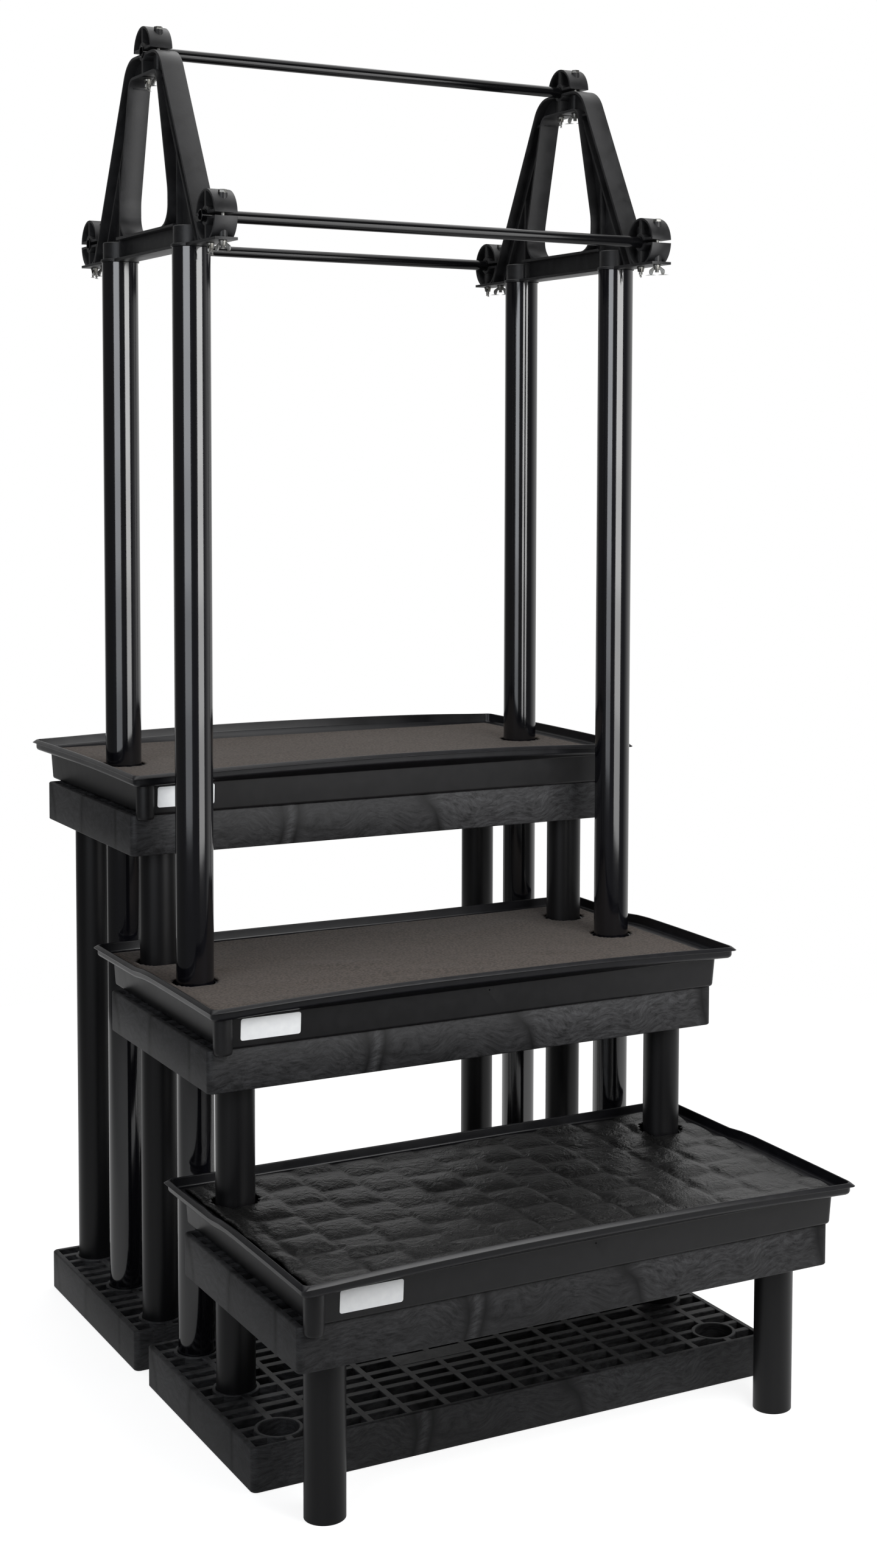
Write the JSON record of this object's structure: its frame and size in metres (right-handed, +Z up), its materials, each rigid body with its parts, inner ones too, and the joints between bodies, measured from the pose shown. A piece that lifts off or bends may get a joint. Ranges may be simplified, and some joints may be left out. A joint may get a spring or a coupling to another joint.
{
  "type": "tiered plant display stand",
  "caption": "Stepped plant bench: slotted decks on pipe legs carry rimmed water trays with mats, under a pair of A-shaped brackets that clamp hanging rods.",
  "frame": {"origin": "on the floor under the middle of the middle tray, which is the middle of the stand's footprint box", "axes": "+Z up, -Y towards the low front tier, +X to the right seen from the front"},
  "size_m": [1.2682, 1.667, 2.9641],
  "materials": {
    "deck": "foam-moulded plastic with faint flow marks",
    "leg": "satin plastic pipe",
    "upright": "glossy plastic pipe",
    "tray": "vacuum-formed sheet, half gloss",
    "felt": "needled felt",
    "quilt": "quilted black mat with a pebbled face",
    "bracket": "moulded, fine grain",
    "rod": "dark coated tube",
    "zinc": "bright zinc plate"
  },
  "bodies": {
    "frame": {"rear_base_deck": "deck", "front_base_deck": "deck", "lower_deck": "deck", "middle_deck": "deck", "top_deck": "deck", "left_rear_leg": "leg", "left_middle_lower_leg": "leg", "left_middle_upper_leg": "leg", "left_front_lower_leg": "leg", "left_front_upper_leg": "leg", "left_floor_leg": "leg", "left_rear_upright": "upright", "left_front_upright": "upright", "left_bracket": "bracket", "left_front_clamp_cap": "bracket", "left_rear_clamp_cap": "bracket", "left_top_clamp_cap": "bracket", "right_rear_leg": "leg", "right_middle_lower_leg": "leg", "right_middle_upper_leg": "leg", "right_front_lower_leg": "leg", "right_front_upper_leg": "leg", "right_floor_leg": "leg", "right_rear_upright": "upright", "right_front_upright": "upright", "right_bracket": "bracket", "right_front_clamp_cap": "bracket", "right_rear_clamp_cap": "bracket", "right_top_clamp_cap": "bracket", "front_rod": "rod", "rear_rod": "rod", "top_rod": "rod"},
    "bottom_tray_set": {"bottom_tray": "tray", "bottom_mat": "quilt"},
    "middle_tray_set": {"middle_tray": "tray", "middle_mat": "felt"},
    "top_tray_set": {"top_tray": "tray", "top_mat": "felt"},
    "left_front_wing_nut_a_body": {"left_front_wing_nut_a": "zinc"},
    "left_front_wing_nut_b_body": {"left_front_wing_nut_b": "zinc"},
    "right_front_wing_nut_a_body": {"right_front_wing_nut_a": "zinc"},
    "right_front_wing_nut_b_body": {"right_front_wing_nut_b": "zinc"},
    "left_rear_wing_nut_a_body": {"left_rear_wing_nut_a": "zinc"},
    "left_rear_wing_nut_b_body": {"left_rear_wing_nut_b": "zinc"},
    "right_rear_wing_nut_a_body": {"right_rear_wing_nut_a": "zinc"},
    "right_rear_wing_nut_b_body": {"right_rear_wing_nut_b": "zinc"},
    "left_top_wing_nut_a_body": {"left_top_wing_nut_a": "zinc"},
    "left_top_wing_nut_b_body": {"left_top_wing_nut_b": "zinc"},
    "right_top_wing_nut_a_body": {"right_top_wing_nut_a": "zinc"},
    "right_top_wing_nut_b_body": {"right_top_wing_nut_b": "zinc"}
  },
  "joints": [
    {"name": "bottom_tray_lift", "type": "slide", "parent": "frame", "child": "bottom_tray_set", "axis": [0, 0, 1], "range_m": [0, 0.235]},
    {"name": "middle_tray_lift", "type": "slide", "parent": "frame", "child": "middle_tray_set", "axis": [0, 0, 1], "range_m": [0, 0.235]},
    {"name": "top_tray_lift", "type": "slide", "parent": "frame", "child": "top_tray_set", "axis": [0, 0, 1], "range_m": [0, 1.1]},
    {"name": "left_front_wing_nut_a_turn", "type": "hinge", "parent": "frame", "child": "left_front_wing_nut_a_body", "pos_m": [-0.5371, -0.2039, 2.473], "axis": [0, 0, 1], "continuous": true},
    {"name": "left_front_wing_nut_b_turn", "type": "hinge", "parent": "frame", "child": "left_front_wing_nut_b_body", "pos_m": [-0.5371, -0.1339, 2.473], "axis": [0, 0, 1], "continuous": true},
    {"name": "right_front_wing_nut_a_turn", "type": "hinge", "parent": "frame", "child": "right_front_wing_nut_a_body", "pos_m": [0.5081, -0.2039, 2.473], "axis": [0, 0, 1], "continuous": true},
    {"name": "right_front_wing_nut_b_turn", "type": "hinge", "parent": "frame", "child": "right_front_wing_nut_b_body", "pos_m": [0.5081, -0.1339, 2.473], "axis": [0, 0, 1], "continuous": true},
    {"name": "left_rear_wing_nut_a_turn", "type": "hinge", "parent": "frame", "child": "left_rear_wing_nut_a_body", "pos_m": [-0.5371, 0.5461, 2.473], "axis": [0, 0, 1], "continuous": true},
    {"name": "left_rear_wing_nut_b_turn", "type": "hinge", "parent": "frame", "child": "left_rear_wing_nut_b_body", "pos_m": [-0.5371, 0.6161, 2.473], "axis": [0, 0, 1], "continuous": true},
    {"name": "right_rear_wing_nut_a_turn", "type": "hinge", "parent": "frame", "child": "right_rear_wing_nut_a_body", "pos_m": [0.5081, 0.5461, 2.473], "axis": [0, 0, 1], "continuous": true},
    {"name": "right_rear_wing_nut_b_turn", "type": "hinge", "parent": "frame", "child": "right_rear_wing_nut_b_body", "pos_m": [0.5081, 0.6161, 2.473], "axis": [0, 0, 1], "continuous": true},
    {"name": "left_top_wing_nut_a_turn", "type": "hinge", "parent": "frame", "child": "left_top_wing_nut_a_body", "pos_m": [-0.5371, 0.1711, 2.859], "axis": [0, 0, 1], "continuous": true},
    {"name": "left_top_wing_nut_b_turn", "type": "hinge", "parent": "frame", "child": "left_top_wing_nut_b_body", "pos_m": [-0.5371, 0.2411, 2.859], "axis": [0, 0, 1], "continuous": true},
    {"name": "right_top_wing_nut_a_turn", "type": "hinge", "parent": "frame", "child": "right_top_wing_nut_a_body", "pos_m": [0.5081, 0.1711, 2.859], "axis": [0, 0, 1], "continuous": true},
    {"name": "right_top_wing_nut_b_turn", "type": "hinge", "parent": "frame", "child": "right_top_wing_nut_b_body", "pos_m": [0.5081, 0.2411, 2.859], "axis": [0, 0, 1], "continuous": true}
  ]
}
